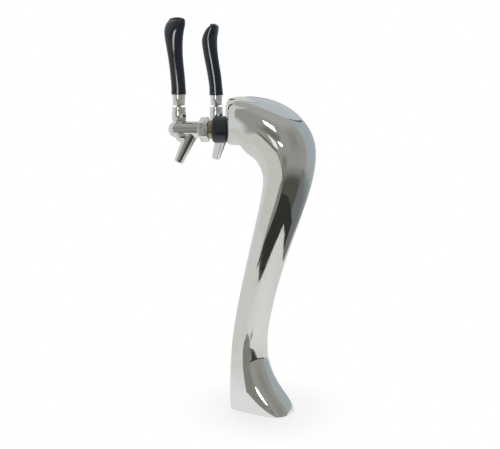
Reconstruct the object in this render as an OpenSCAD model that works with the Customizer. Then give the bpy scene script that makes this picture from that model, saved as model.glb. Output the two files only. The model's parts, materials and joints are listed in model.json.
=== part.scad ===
// Draft beer tower with a swan-neck column and two lever taps.
// The origin is the centre of the foot's face on the counter, and the taps face -Y.

/* [Tower] */
// Height of the column from the counter to the top of its head
tower_h = 480; // [440:5:540]
// Height of the flare at the foot
foot_h = 80; // [72:1:90]
// Height of the bent neck and head, from where the column leaves its stem
bend_h = 200; // [194:1:206]
// Depth of the foot, front to rear
foot_d = 96; // [92:1:104]
// Width of the foot at the counter
foot_w = 66; // [64:1:76]
// Width of the column at its waist
waist_w = 54; // [50:1:60]
// Width of the head
head_w = 96; // [94:1:104]
// Thickness of the column's wall
wall_t = 3.5; // [2.5:0.1:4]
// Depth of the round front of the head
nose_d = 33; // [30:1:38]

/* [Taps] */
// Distance of the tap axis below the top of the head
tap_drop = 49; // [46:1:52]
// Distance between the two shank holes, across the head
tap_spacing = 49; // [48:0.5:54]
// Angle by which each tap turns outwards
splay = 22.5; // [18:0.5:24]
// Distance from the head to the lever's axis
tap_reach = 71; // [70:0.5:76]
// Diameter of the tap's barrel
barrel_d = 24.5; // [23:0.1:26]
// Diameter of the bore that the plunger slides in
barrel_bore_d = 14; // [13.6:0.1:15]
// Angle of the spout from the vertical
spout_lean = 25.5; // [20:0.5:30]
// Length of the spout from the barrel's axis
spout_l = 54; // [48:1:60]
// Diameter of the spout's outlet end
spout_tip_d = 13.5; // [13:0.1:16]
// Diameter of the beer channel in the spout
spout_bore_d = 9; // [7:0.1:9.5]
// Angle that the lever swings forward to open the tap
open_angle = 24; // [10:1:24]

/* [Handles] */
// Length of the black handle
handle_h = 111.5; // [80:0.5:160]
// Diameter of the handle's round lower end
handle_d = 22; // [20:0.5:26]
// Sideways turn at which the right handle screws tight
right_handle_turn = 68; // [0:1:90]
// Sideways turn at which the left handle screws tight
left_handle_turn = 40; // [0:1:90]

/* [Shanks] */
// Outer diameter of the shank's thread
shank_d = 20; // [18:0.1:20.4]
// Diameter of the beer channel in the shank
shank_bore_d = 9.5; // [7:0.1:10]
// Diameter of the black collar
collar_d = 40; // [36:0.5:41]
// Length of the black collar
collar_l = 25; // [22:0.5:25]
// Width of the coupling nut across its flats
coupling_af = 32; // [31:0.1:33]
// Length of the coupling nut
coupling_l = 13; // [12.6:0.1:14]

/* [Base] */
// Thickness of the base plate inside the foot
plate_t = 5; // [4:0.5:7]
// Diameter of the hole for the beer lines
line_hole_d = 34; // [33:0.5:36]
// Spacing of the mounting holes across the tower
bolt_x = 36; // [34:1:38]
// Spacing of the mounting holes from front to rear
bolt_y = 50; // [46:1:52]
// Diameter of the mounting holes
bolt_hole_d = 6.6; // [5:0.1:7]

/* [Hidden] */
$fn = 64;

// Gaps and overruns shared by all pieces
running_gap = 0.3;
thread_gap = 0.1;
overrun = 1;

// Column: each row is a slice from the front outline to the rear outline.
// Front y and height, rear y and height, foot and head shares of the width, front and rear squareness.
// A height of 0 to 1 lies in the foot's flare, 1 to 2 in the stem and 2 to 3 in the bent neck and head.
column_shares = [
    [-0.5, 0, 0.5, 0, 1, 0, 5, 2.8],
    [-0.51, 0.15, 0.44, 0.18, 1, 0, 5, 2.5],
    [-0.51, 0.5, 0.167, 0.55, 0.33, 0, 5, 2.2],
    [-0.5, 1, 0.02, 1.02, 0.08, 0, 4.8, 2.1],
    [-0.448, 1.25, 0.042, 1.25, 0, 0, 4.2, 2.1],
    [-0.323, 1.55, 0.177, 1.53, 0, 0.1, 3.6, 2.1],
    [-0.167, 1.85, 0.354, 1.8, 0, 0.24, 3.3, 2.1],
    [0, 2.15, 0.542, 2.06, 0, 0.48, 3, 2.1],
    [0.094, 2.36, 0.771, 2.375, 0, 0.67, 2.8, 2.1],
    [0.076, 2.45, 0.8125, 2.675, 0, 0.86, 2.7, 2.2],
    [-0.051, 2.534, 0.52, 2.87, 0, 0.95, 2.5, 2.3],
    [-0.13, 2.58, 0.135, 2.97, 0, 1, 4.2, 2.4],
    [-0.234, 2.637, -0.234, 3, 0, 1, 3.8, 2.6]];
nose_squareness = 2.2;
nose_edge_squareness = 4;
nose_end_angle = 86;
nose_top_share = 2.89;
nose_chin_share = 2.632;
last_slice = column_shares[len(column_shares) - 1];
nose_y = last_slice[0] * foot_d;
stem_h = tower_h - foot_h - bend_h;
outer_steps = 4;
inner_steps = 2;
outer_sides = 40;
inner_sides = 28;
outer_nose_slices = 10;
inner_nose_slices = 6;

// Base plate, the rebate that holds it in the foot, and its screws
rebate_w = 1.2;
gasket_t = 1.5;
pocket_h = gasket_t + plate_t;
pocket_slice_share = 0.6;
plate_screw_d = 5;
plate_screw_head_d = 9;
plate_screw_l = 14;
screw_boss_d = 10;
screw_boss_h = 16;
front_boss_y = -foot_d / 2 + wall_t / 2 + screw_boss_d / 2;
rear_boss_share = 0.3;
rear_boss_y = foot_d * rear_boss_share;

// The point where a tap sits on the head, and the head's radius there
tap_z = tower_h - tap_drop;
seat_x = tap_spacing / 2;
seat_depth_share = pow(1 - pow(2 * seat_x / head_w, nose_squareness), 1 / nose_squareness);
seat_y = nose_y - nose_d * seat_depth_share;
contour_share = 0.53;
contour_r = head_w * contour_share;
contour_gap = 0.6;

// Places along the tap's axis, measured outwards from the head
nut_web = 2.8;
nut_start = collar_l + running_gap;
nut_end = nut_start + coupling_l;
shank_lip_t = 2.8;
shank_lip_start = nut_start + nut_web + thread_gap;
shank_end = shank_lip_start + shank_lip_t;
coupling_washer_t = 1.6;
body_start = shank_end + coupling_washer_t;
shoulder_start = nut_end + running_gap;
valve_room = 12.4;
valve_face = body_start + valve_room;
valve_seat_t = 2.5;
valve_hole_d = 9;
chamber_start = valve_face + valve_seat_t;
chamber_front = 7.5;
chamber_end = tap_reach + chamber_front;
dome_offset = 4;
body_thread_d = 27;
spout_root_d = 22;
spout_root_gap = 11;
spout_root = shoulder_start + spout_root_gap;
spout_channel_start = 5;
web_ball_d = 23;
web_ball_back = 5;
web_ball_drop = 8;

// Upright of the tap, measured up from the barrel's axis
pivot_z = 26;
ball_d = 15;
ball_pocket_r = ball_d / 2 + running_gap;
upright_d = 18;
upright_top = pivot_z - running_gap;
socket_depth = 8.5;
socket_floor = pivot_z - socket_depth;
lug_d = 4;
lug_tip_d = 5;
lug_l = 21;
lug_way_w = lug_tip_d + 2 * running_gap;
stem_d = 7;
stud_d = 6;
bonnet_d = 21;
bonnet_ring_d = 20.4;
bonnet_skirt_z = 12.8;
bonnet_ring_z = 28;
bonnet_rise = 7;
bonnet_top_z = pivot_z + bonnet_rise;
bonnet_groove_h = 0.8;
bonnet_chamfer = 0.8;
mouth_angle = open_angle + asin(stem_d / 2 / ball_pocket_r) + 2;
cup_r = 12.9;
ferrule_low_d = 17.6;
ferrule_top_d = 19.3;
ferrule_top_z = 51.2;
ferrule_chamfer = 0.6;
lock_boss_d = 8;
lock_boss_z = 20;
lock_boss_reach = 12.6;
lock_screw_d = 4;
lock_screw_socket_d = 2.2;
lock_screw_socket_l = 1.6;
lock_screw_reach = 13;
// Turns of the right and left lock screws about their uprights
lock_turns = [40, 0];

// Handle
handle_z = ferrule_top_z + running_gap;
// Front offset and height, rear offset and height, then half width, as shares of diameter and length
handle_shares = [
    [-0.46, 0, 0.46, 0, 0.46],
    [-0.5, 0.012, 0.5, 0.012, 0.5],
    [-0.502, 0.111, 0.452, 0.111, 0.485],
    [-0.62, 0.274, 0.369, 0.274, 0.48],
    [-0.775, 0.436, 0.236, 0.436, 0.482],
    [-0.929, 0.593, 0.127, 0.593, 0.539],
    [-1.022, 0.735, 0.076, 0.735, 0.638],
    [-0.952, 0.825, 0.104, 0.837, 0.712],
    [-0.699, 0.919, 0.151, 0.885, 0.721],
    [-0.417, 0.969, 0.187, 0.95, 0.64],
    [-0.396, 0.982, 0.165, 0.965, 0.596],
    [-0.327, 0.994, 0.096, 0.983, 0.448],
    [-0.221, 0.999, -0.01, 0.996, 0.224],
    [-0.124, 1, -0.106, 1, 0.019]];
handle_sides = 28;
handle_steps = 3;
insert_d = 10;
insert_l = 18;
insert_start = 0.5;

// Plunger
plunger_gap = 0.4;
plunger_stem_d = 6;
plunger_head_d = 12;
plunger_head_t = 1.5;
seat_seal_t = 2.9;
flange_t = 4;
groove_half = lug_tip_d / 2 + running_gap;
groove_neck_d = 4;
front_flange_t = 3.8;
oring_t = 1.9;
oring_bed = 1.6;

// Pieces inside the head, measured inwards from the head's face
inner_washer_d = 26;
inner_washer_gap = 1.3;
inner_washer_end = wall_t + 4;
lock_nut_af = 26;
lock_nut_t = 6;
shank_inner_end = 22;
tail_flange_d = 17;
tail_flange_t = 2;
tail_nut_af = 23.5;
tail_nut_start = 14.6;
tail_nut_web = 2.2;
tail_d = 8.6;
tail_bore_d = 6.5;
tail_end = 41;
nut_chamfer = 1;
line_d = 12;
line_bore_d = 9.6;
line_start = 27.5;
line_sides = 10;
clamp_gap = 0.1;
clamp_t = 0.8;
clamp_w = 7;
clamp_start = 31;
clamp_box_w = 6;
clamp_box_h = 4;

// Beer line: y and height of the points of its route behind the tap, across by half of line_gap
line_gap = 20;
line_route_shares = [
    [-0.04, 2.75], [0.06, 2.71], [0.167, 2.655], [0.26, 2.585], [0.344, 2.5], [0.396, 2.41],
    [0.41, 2.325], [0.385, 2.225], [0.323, 2.125], [0.25, 2.025], [0.156, 1.91], [0.052, 1.79],
    [-0.031, 1.66], [-0.104, 1.525], [-0.167, 1.375], [-0.203, 1.25], [-0.224, 1.125], [-0.224, 1.02],
    [-0.188, 0.81], [-0.125, 0.565], [-0.052, 0.35], [-0.01, 0.175], [0, 0.08], [0, 0.0125]];

// Colours
chrome = [0.78, 0.79, 0.8];
brass = [0.8, 0.65, 0.3];
steel = [0.62, 0.63, 0.65];
black = [0.1, 0.11, 0.12];
rubber = [0.2, 0.2, 0.2];
nylon = [0.9, 0.9, 0.86];
hose = [0.85, 0.87, 0.9];

// Smooth curves, outlines and lofts
function mix(a, b, t) = a + (b - a) * t;
function signed_pow(v, e) = sign(v) * pow(abs(v), e);
function smooth(a, b, c, d, t) =
    b + ((c - a) * t + (2 * a - 5 * b + 4 * c - d) * t * t + (3 * b - a - 3 * c + d) * t * t * t) / 2;
function smooth_row(table, i, t) =
    let(last = len(table) - 1)
    smooth(table[max(i - 1, 0)], table[i], table[min(i + 1, last)], table[min(i + 2, last)], t);
function smooth_rows(table, steps) = concat(
    [for (i = [0 : len(table) - 2]) for (k = [0 : steps - 1]) smooth_row(table, i, k / steps)],
    [table[len(table) - 1]]);

// Height above the counter of a share that runs through the flare, the stem and the bend
function height_at(share) =
    min(share, 1) * foot_h + max(min(share - 1, 1), 0) * stem_h + max(share - 2, 0) * bend_h;

// A closed outline between a front and a rear point, squarer with a higher power
function slice(front, rear, half_w, front_power, rear_power, sides) = [
    for (j = [0 : sides - 1])
        let(turn = 360 * j / sides, depth = sin(turn))
        let(e = 2 / (depth < 0 ? front_power : rear_power))
        concat([half_w * signed_pow(cos(turn), e)], mix(front, rear, (1 + signed_pow(depth, e)) / 2))];

// A slice of the column, drawn in by inset all round
function column_slice(row, inset, sides) =
    let(front = [row[0] * foot_d, height_at(row[1])], rear = [row[2] * foot_d, height_at(row[3])])
    let(inward = (rear - front) / norm(rear - front) * inset)
    let(half_w = (row[4] * foot_w + row[5] * head_w + (1 - row[4] - row[5]) * waist_w) / 2)
    slice(front + inward, rear - inward, half_w - inset, row[6], row[7], sides);

// A slice of the head's round front
function nose_slice(turn, inset, sides) =
    let(edge = 1 - pow(1 - pow(sin(turn), 4), 1 / 4), e = 2 / nose_squareness)
    let(y = nose_y - (nose_d - inset) * pow(sin(turn), e))
    let(low = height_at(mix(last_slice[1], nose_chin_share, edge)) + inset)
    let(high = height_at(mix(last_slice[3], nose_top_share, edge)) - inset)
    let(front_power = mix(last_slice[6], nose_edge_squareness, sin(turn)))
    let(rear_power = mix(last_slice[7], nose_edge_squareness, sin(turn)))
    slice([y, low], [y, high], (head_w / 2 - inset) * pow(cos(turn), e), front_power, rear_power, sides);

function column_slices(inset, steps, sides, nose_slices) = concat(
    [for (row = smooth_rows(column_shares, steps)) column_slice(row, inset, sides)],
    [for (i = [1 : nose_slices]) nose_slice(nose_end_angle * i / nose_slices, inset, sides)]);

// A solid skinned over a row of outlines with the same number of points
module loft(slices) {
    n = len(slices);
    m = len(slices[0]);
    sides = [for (i = [0 : n - 2]) for (j = [0 : m - 1])
        let(a = i * m + j, b = i * m + (j + 1) % m)
        each [[a, a + m, b], [b, a + m, b + m]]];
    ends = [[for (j = [0 : m - 1]) j], [for (j = [m - 1 : -1 : 0]) (n - 1) * m + j]];
    polyhedron([for (s = slices) each s], concat(sides, ends));
}

// A tube skinned over outlines that run out along its outside and back along its bore
module ring_loft(slices) {
    n = len(slices);
    m = len(slices[0]);
    faces = [for (i = [0 : n - 1]) for (j = [0 : m - 1])
        let(a = i * m + j, b = i * m + (j + 1) % m)
        let(c = ((i + 1) % n) * m + j, d = ((i + 1) % n) * m + (j + 1) % m)
        each [[a, c, b], [b, c, d]]];
    polyhedron([for (s = slices) each s], faces);
}

// Puts a tap's piece in its place; mirrored pieces stay in their own hand
module on_head(side) {
    translate([side * seat_x, seat_y, tap_z]) rotate([0, 0, side * splay]) children();
}

// A rod along the tap's axis, between two distances from the head
module rod(from, to, d) {
    translate([0, -from, 0]) rotate([90, 0, 0]) cylinder(h = to - from, d = d);
}

// A hexagon nut along the tap's axis, with chamfered corners that stand up and down
module hex_nut(from, to, af) {
    l = to - from;
    r = af / sqrt(3);
    flat_r = af / 2;
    slope = nut_chamfer;
    translate([0, -from, 0]) rotate([90, 0, 0]) intersection() {
        rotate([0, 0, 90]) cylinder(h = l, r = r, $fn = 6);
        rotate_extrude() polygon([[0, 0], [flat_r, 0], [r, slope], [r, l - slope], [flat_r, l], [0, l]]);
    }
}

module outer_column() {
    loft(column_slices(0, outer_steps, outer_sides, outer_nose_slices));
}

module column_cavity() {
    loft(column_slices(wall_t, inner_steps, inner_sides, inner_nose_slices));
}

// The outline of the base plate's rebate, drawn in by gap
module plate_outline(gap) {
    row = smooth_row(column_shares, 0, pocket_slice_share);
    points = column_slice(row, wall_t - rebate_w + gap, inner_sides);
    polygon([for (p = points) [p[0], p[1]]]);
}

module at_plate_screws() {
    for (y = [front_boss_y, rear_boss_y]) translate([0, y, 0]) children();
}

module tower_column() color(chrome) {
    difference() {
        union() {
            difference() {
                outer_column();
                column_cavity();
            }
            at_plate_screws() translate([0, 0, pocket_h - overrun])
                cylinder(h = screw_boss_h, d = screw_boss_d);
        }
        translate([0, 0, -overrun]) linear_extrude(pocket_h + overrun) plate_outline(0);
        at_plate_screws()
            cylinder(h = plate_screw_l + gasket_t + running_gap, d = plate_screw_d + 2 * thread_gap);
        for (side = [1, -1]) on_head(side) rod(-inner_washer_end, wall_t, shank_d + 2 * thread_gap);
    }
}

module plate_holes() {
    cylinder(h = 3 * pocket_h, d = line_hole_d, center = true);
    for (x = [-1, 1]) for (y = [-1, 1]) translate([x * bolt_x / 2, y * bolt_y / 2, 0])
        cylinder(h = 3 * pocket_h, d = bolt_hole_d, center = true);
}

module base_plate() color(steel) {
    difference() {
        translate([0, 0, gasket_t]) linear_extrude(plate_t) plate_outline(running_gap);
        plate_holes();
        at_plate_screws() {
            cylinder(h = 3 * pocket_h, d = plate_screw_d + 2 * thread_gap, center = true);
            translate([0, 0, gasket_t]) screw_cone(thread_gap);
        }
    }
}

module base_gasket() color(rubber) {
    difference() {
        linear_extrude(gasket_t) plate_outline(running_gap);
        plate_holes();
        at_plate_screws()
            cylinder(h = 3 * pocket_h, d = plate_screw_head_d + 2 * running_gap, center = true);
    }
}

module screw_cone(gap) {
    cone_h = (plate_screw_head_d - plate_screw_d) / 2;
    cylinder(h = cone_h, r1 = plate_screw_head_d / 2 + gap, r2 = plate_screw_d / 2 + gap);
}

module base_plate_screws() color(steel) {
    at_plate_screws() translate([0, 0, gasket_t]) difference() {
        union() {
            screw_cone(0);
            cylinder(h = plate_screw_l, d = plate_screw_d);
        }
        translate([0, 0, -overrun]) cylinder(h = overrun + plate_t / 4, d = plate_screw_d / 2, $fn = 6);
    }
}

// Handle, with its lean turned sideways to where it screws tight
module handle(side) color(black) {
    turn = side > 0 ? right_handle_turn : left_handle_turn;
    slices = [for (row = smooth_rows(handle_shares, handle_steps))
        slice([row[0] * handle_d, row[1] * handle_h], [row[2] * handle_d, row[3] * handle_h],
            row[4] * handle_d, 2, 2, handle_sides)];
    on_head(side) translate([0, -tap_reach, handle_z]) difference() {
        rotate([0, 0, turn]) loft(slices);
        translate([0, 0, -overrun])
            cylinder(h = overrun + insert_l + insert_start + running_gap, d = insert_d + thread_gap);
    }
}

module handle_insert(side) color(brass) {
    on_head(side) translate([0, -tap_reach, handle_z + insert_start]) difference() {
        cylinder(h = insert_l, d = insert_d);
        translate([0, 0, -overrun]) cylinder(h = insert_l + 2 * overrun, d = stud_d + thread_gap);
    }
}

module ferrule(side) color(chrome) {
    low = pivot_z + sqrt(cup_r * cup_r - ferrule_low_d * ferrule_low_d / 4) - overrun;
    on_head(side) translate([0, -tap_reach, 0]) difference() {
        rotate_extrude() polygon([[0, low], [ferrule_low_d / 2, low],
            [ferrule_top_d / 2, ferrule_top_z - ferrule_chamfer],
            [ferrule_top_d / 2 - ferrule_chamfer, ferrule_top_z], [0, ferrule_top_z]]);
        translate([0, 0, pivot_z]) sphere(r = cup_r);
        cylinder(h = ferrule_top_z + overrun, d = stem_d + thread_gap);
    }
}

module lever(side) color(steel) {
    stud_top = handle_z + insert_start + insert_l - overrun;
    on_head(side) translate([0, -tap_reach, pivot_z]) {
        sphere(d = ball_d);
        cylinder(h = ferrule_top_z - pivot_z, d = stem_d);
        cylinder(h = stud_top - pivot_z, d = stud_d);
        translate([0, 0, -lug_l]) cylinder(h = lug_l, d = lug_d);
        translate([0, 0, -lug_l]) sphere(d = lug_tip_d);
    }
}

module lock_turn(side) {
    turn = side > 0 ? lock_turns[0] : lock_turns[1];
    translate([0, -tap_reach, lock_boss_z]) rotate([0, 0, -turn]) rotate([-90, 0, 0]) children();
}

module bonnet(side) color(chrome) {
    on_head(side) difference() {
        union() {
            translate([0, -tap_reach, 0]) rotate_extrude() bonnet_profile();
            lock_turn(side) cylinder(h = lock_boss_reach, d = lock_boss_d);
        }
        translate([0, -tap_reach, 0]) {
            cylinder(h = upright_top + running_gap, d = upright_d + thread_gap);
            translate([0, 0, pivot_z]) sphere(r = ball_pocket_r);
            translate([0, 0, pivot_z]) cylinder(h = pivot_z, r1 = 0, r2 = pivot_z * tan(mouth_angle));
        }
        lock_turn(side) cylinder(h = lock_screw_reach + overrun, d = lock_screw_d + thread_gap);
    }
}

// Half of the bonnet's outline: skirt, groove and ring
module bonnet_profile() {
    skirt_r = bonnet_d / 2;
    ring_r = bonnet_ring_d / 2;
    groove_r = ring_r - bonnet_groove_h;
    polygon([[0, bonnet_skirt_z], [skirt_r, bonnet_skirt_z],
        [skirt_r, bonnet_ring_z - 2 * bonnet_groove_h], [groove_r, bonnet_ring_z - bonnet_groove_h],
        [groove_r, bonnet_ring_z], [ring_r, bonnet_ring_z + bonnet_groove_h],
        [ring_r, bonnet_top_z - bonnet_chamfer], [ring_r - bonnet_chamfer, bonnet_top_z],
        [0, bonnet_top_z]]);
}

module lock_screw(side) color(steel) {
    on_head(side) lock_turn(side) difference() {
        translate([0, 0, upright_d / 2 + thread_gap])
            cylinder(h = lock_screw_reach - upright_d / 2 - thread_gap, d = lock_screw_d);
        translate([0, 0, lock_screw_reach - lock_screw_socket_l])
            cylinder(h = lock_screw_socket_l + overrun, d = lock_screw_socket_d, $fn = 6);
    }
}

// The slot that the lug and its tip sweep as the lever swings
module lug_way() {
    front = lug_tip_d / 2 + running_gap;
    rear = (lug_d / 2 + running_gap) / cos(open_angle);
    tip_rear = lug_l * sin(open_angle) + front;
    tip_top = lug_l * cos(open_angle) - front;
    translate([0, -tap_reach, pivot_z]) rotate([90, 0, 90]) linear_extrude(lug_way_w, center = true)
        polygon([[-front, 0], [-front, -lug_l], [tip_rear, -lug_l], [tip_rear, -tip_top],
            [rear + tip_top * tan(open_angle), -tip_top], [rear, 0]]);
}

module ball_washer(side) color(nylon) {
    on_head(side) difference() {
        translate([0, -tap_reach, socket_floor])
            cylinder(h = pivot_z - socket_floor - ball_pocket_r / 2, r = ball_pocket_r - thread_gap);
        translate([0, -tap_reach, pivot_z]) sphere(r = ball_pocket_r);
        lug_way();
    }
}

module along_spout() {
    translate([0, -spout_root, 0]) rotate([180 - spout_lean, 0, 0]) children();
}

// Half of the barrel's outline, with its domed front
module barrel_profile() {
    r = barrel_d / 2;
    steps = 10;
    polygon(concat([[0, shoulder_start], [r, shoulder_start]],
        [for (i = [0 : steps])
            let(turn = 90 * i / steps)
            [r * cos(turn), tap_reach + dome_offset + r * sin(turn)]]));
}

module tap_body(side) color(chrome) {
    on_head(side) difference() {
        union() {
            rod(body_start, shoulder_start + overrun, body_thread_d);
            rotate([90, 0, 0]) rotate_extrude() barrel_profile();
            translate([0, -tap_reach, 0]) cylinder(h = upright_top, d = upright_d);
            translate([0, -tap_reach + web_ball_back, -web_ball_drop]) sphere(d = web_ball_d);
            along_spout() cylinder(h = spout_l, d1 = spout_root_d, d2 = spout_tip_d);
        }
        rod(body_start - overrun, valve_face, barrel_bore_d);
        rod(valve_face - overrun, chamber_start + overrun, valve_hole_d);
        rod(chamber_start, chamber_end, barrel_bore_d);
        along_spout() translate([0, 0, spout_channel_start])
            cylinder(h = spout_l, d = spout_bore_d);
        translate([0, -tap_reach, socket_floor]) cylinder(h = upright_top, r = ball_pocket_r + thread_gap);
        lug_way();
    }
}

module plunger(side) color(steel) {
    flange_d = barrel_bore_d - 2 * plunger_gap;
    seal_face = valve_face - running_gap;
    rear_flange_end = tap_reach - groove_half;
    on_head(side) difference() {
        union() {
            rod(seal_face - seat_seal_t - plunger_head_t, seal_face - seat_seal_t, plunger_head_d);
            rod(seal_face - seat_seal_t - overrun / 2, rear_flange_end, plunger_stem_d);
            rod(rear_flange_end - flange_t, rear_flange_end, flange_d);
            rod(rear_flange_end - overrun / 2, tap_reach + groove_half + overrun / 2, groove_neck_d);
            rod(tap_reach + groove_half, tap_reach + groove_half + front_flange_t, flange_d);
        }
        oring_groove(flange_d);
    }
}

module oring_groove(flange_d) {
    middle = tap_reach - groove_half - flange_t / 2;
    difference() {
        rod(middle - oring_t / 2, middle + oring_t / 2, flange_d + overrun);
        rod(middle - oring_t, middle + oring_t, flange_d - 2 * oring_bed);
    }
}

module plunger_oring(side) color(rubber) {
    flange_d = barrel_bore_d - 2 * plunger_gap;
    section_r = oring_t / 2 - thread_gap / 2;
    on_head(side) translate([0, -(tap_reach - groove_half - flange_t / 2), 0]) rotate([90, 0, 0])
        rotate_extrude() translate([flange_d / 2 - oring_bed + oring_t / 2, 0]) circle(r = section_r);
}

module seat_seal(side) color(rubber) {
    seal_face = valve_face - running_gap;
    on_head(side) difference() {
        rod(seal_face - seat_seal_t, seal_face, plunger_head_d);
        rod(seal_face - seat_seal_t - overrun, seal_face + overrun, plunger_stem_d);
    }
}

module coupling_nut(side) color(chrome) {
    on_head(side) difference() {
        hex_nut(nut_start, nut_end, coupling_af);
        rod(nut_start - overrun, nut_end, shank_d + 2 * thread_gap);
        rod(nut_start + nut_web, nut_end + overrun, body_thread_d + 2 * thread_gap);
    }
}

module coupling_washer(side) color(rubber) {
    on_head(side) difference() {
        rod(shank_end, body_start, body_thread_d - 2 * overrun);
        rod(shank_end - overrun, body_start + overrun, plunger_head_d + overrun);
    }
}

module shank(side) color(brass) {
    on_head(side) difference() {
        union() {
            rod(-shank_inner_end, shank_end, shank_d);
            rod(shank_lip_start, shank_end, body_thread_d - 2 * overrun);
        }
        rod(-shank_inner_end - overrun, shank_end + overrun, shank_bore_d);
    }
}

module collar(side) color(black) {
    straight_share = 0.74;
    front_share = 0.84;
    edge = collar_l * straight_share;
    edge_points = 8;
    r = collar_d / 2;
    round_front = [for (i = [0 : edge_points])
        let(turn = 90 * i / edge_points)
        [mix(r * front_share, r, cos(turn)), mix(edge, collar_l, sin(turn))]];
    on_head(side) difference() {
        rotate([90, 0, 0]) rotate_extrude()
            polygon(concat([[0, -r / 2], [r, -r / 2]], round_front, [[0, collar_l]]));
        rod(-r, collar_l + overrun, shank_d + 2 * running_gap);
        translate([0, contour_r, 0])
            cylinder(h = 2 * collar_d, r = contour_r + contour_gap, center = true, $fn = 128);
    }
}

module inner_washer(side) color(steel) {
    inner_r = contour_r - wall_t - inner_washer_gap;
    on_head(side) difference() {
        intersection() {
            rod(-inner_washer_end, 0, inner_washer_d);
            translate([0, contour_r, 0])
                cylinder(h = inner_washer_d * 2, r = inner_r, center = true, $fn = 128);
        }
        rod(-inner_washer_end - overrun, overrun, shank_d + 2 * thread_gap);
    }
}

module lock_nut(side) color(brass) {
    on_head(side) difference() {
        hex_nut(-inner_washer_end - thread_gap - lock_nut_t, -inner_washer_end - thread_gap, lock_nut_af);
        rod(-shank_inner_end, 0, shank_d + 2 * thread_gap);
    }
}

module tailpiece(side) color(steel) {
    on_head(side) difference() {
        union() {
            rod(-shank_inner_end - tail_flange_t, -shank_inner_end, tail_flange_d);
            rod(-tail_end, -shank_inner_end - tail_flange_t + overrun, tail_d);
        }
        rod(-tail_end - overrun, -shank_inner_end + overrun, tail_bore_d);
    }
}

module tail_nut(side) color(brass) {
    web_start = shank_inner_end + tail_flange_t + running_gap;
    on_head(side) difference() {
        hex_nut(-web_start - tail_nut_web, -tail_nut_start, tail_nut_af);
        rod(-web_start, -tail_nut_start + overrun, shank_d + 2 * thread_gap);
        rod(-web_start - tail_nut_web - overrun, 0, tail_d + 2 * thread_gap);
    }
}

module hose_clamp(side) color(steel) {
    band_d = line_d + 2 * clamp_gap;
    on_head(side) difference() {
        union() {
            rod(-clamp_start - clamp_w, -clamp_start, band_d + 2 * clamp_t);
            translate([0, clamp_start + clamp_w / 2, band_d / 2 + clamp_box_h / 2])
                cube([clamp_box_w, clamp_w, clamp_box_h], center = true);
        }
        rod(-clamp_start - clamp_w - overrun, -clamp_start + overrun, band_d);
    }
}

// Points of a beer line: straight over its tailpiece, then down through the column
function line_points(side) =
    let(inward = [-side * sin(splay), cos(splay), 0], start = [side * seat_x, seat_y, tap_z])
    concat(
        [for (reach = [line_start, mix(line_start, tail_end, 0.5), tail_end]) start + inward * reach],
        [for (p = line_route_shares)
            [side * line_gap / 2, p[0] * foot_d, height_at(p[1])]]);

function line_ring(points, i, r) =
    let(last = len(points) - 1)
    let(step = points[min(i + 1, last)] - points[max(i - 1, 0)], t = step / norm(step))
    let(side = [1, 0, 0] - t[0] * t, across = side / norm(side), up = cross(t, across))
    [for (j = [0 : line_sides - 1])
        let(turn = 360 * j / line_sides)
        points[i] + r * (across * cos(turn) + up * sin(turn))];

module beer_line(side) color(hose) {
    points = line_points(side);
    last = len(points) - 1;
    ring_loft(concat(
        [for (i = [0 : last]) line_ring(points, i, line_d / 2)],
        [for (i = [last : -1 : 0]) line_ring(points, i, line_bore_d / 2)]));
}

tower_column();
base_plate();
base_gasket();
base_plate_screws();
handle(1);  // right_handle
handle_insert(1);  // right_handle_insert
ferrule(1);  // right_ferrule
lever(1);  // right_lever
bonnet(1);  // right_bonnet
lock_screw(1);  // right_lock_screw
ball_washer(1);  // right_ball_washer
tap_body(1);  // right_tap_body
plunger(1);  // right_plunger
plunger_oring(1);  // right_plunger_oring
seat_seal(1);  // right_seat_seal
coupling_nut(1);  // right_coupling_nut
coupling_washer(1);  // right_coupling_washer
shank(1);  // right_shank
collar(1);  // right_collar
inner_washer(1);  // right_inner_washer
lock_nut(1);  // right_lock_nut
tailpiece(1);  // right_tailpiece
tail_nut(1);  // right_tail_nut
hose_clamp(1);  // right_hose_clamp
beer_line(1);  // right_beer_line
handle(-1);  // left_handle
handle_insert(-1);  // left_handle_insert
ferrule(-1);  // left_ferrule
lever(-1);  // left_lever
bonnet(-1);  // left_bonnet
lock_screw(-1);  // left_lock_screw
ball_washer(-1);  // left_ball_washer
tap_body(-1);  // left_tap_body
plunger(-1);  // left_plunger
plunger_oring(-1);  // left_plunger_oring
seat_seal(-1);  // left_seat_seal
coupling_nut(-1);  // left_coupling_nut
coupling_washer(-1);  // left_coupling_washer
shank(-1);  // left_shank
collar(-1);  // left_collar
inner_washer(-1);  // left_inner_washer
lock_nut(-1);  // left_lock_nut
tailpiece(-1);  // left_tailpiece
tail_nut(-1);  // left_tail_nut
hose_clamp(-1);  // left_hose_clamp
beer_line(-1);  // left_beer_line
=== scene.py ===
import json
import math

import bpy
from mathutils import Matrix, Vector


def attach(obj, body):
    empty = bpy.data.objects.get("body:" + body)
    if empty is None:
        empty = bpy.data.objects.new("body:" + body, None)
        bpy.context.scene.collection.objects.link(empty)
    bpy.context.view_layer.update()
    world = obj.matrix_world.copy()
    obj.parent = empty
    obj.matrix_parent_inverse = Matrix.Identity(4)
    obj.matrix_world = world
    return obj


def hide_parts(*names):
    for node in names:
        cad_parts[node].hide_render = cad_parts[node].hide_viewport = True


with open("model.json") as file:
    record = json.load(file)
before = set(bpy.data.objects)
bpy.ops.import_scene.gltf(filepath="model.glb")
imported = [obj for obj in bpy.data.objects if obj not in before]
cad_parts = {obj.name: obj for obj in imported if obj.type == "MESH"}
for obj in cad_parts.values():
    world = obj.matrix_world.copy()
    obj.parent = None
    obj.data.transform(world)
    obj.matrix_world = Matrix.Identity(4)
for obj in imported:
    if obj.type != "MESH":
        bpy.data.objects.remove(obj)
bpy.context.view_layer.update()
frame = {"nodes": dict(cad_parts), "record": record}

scene = bpy.context.scene
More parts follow.
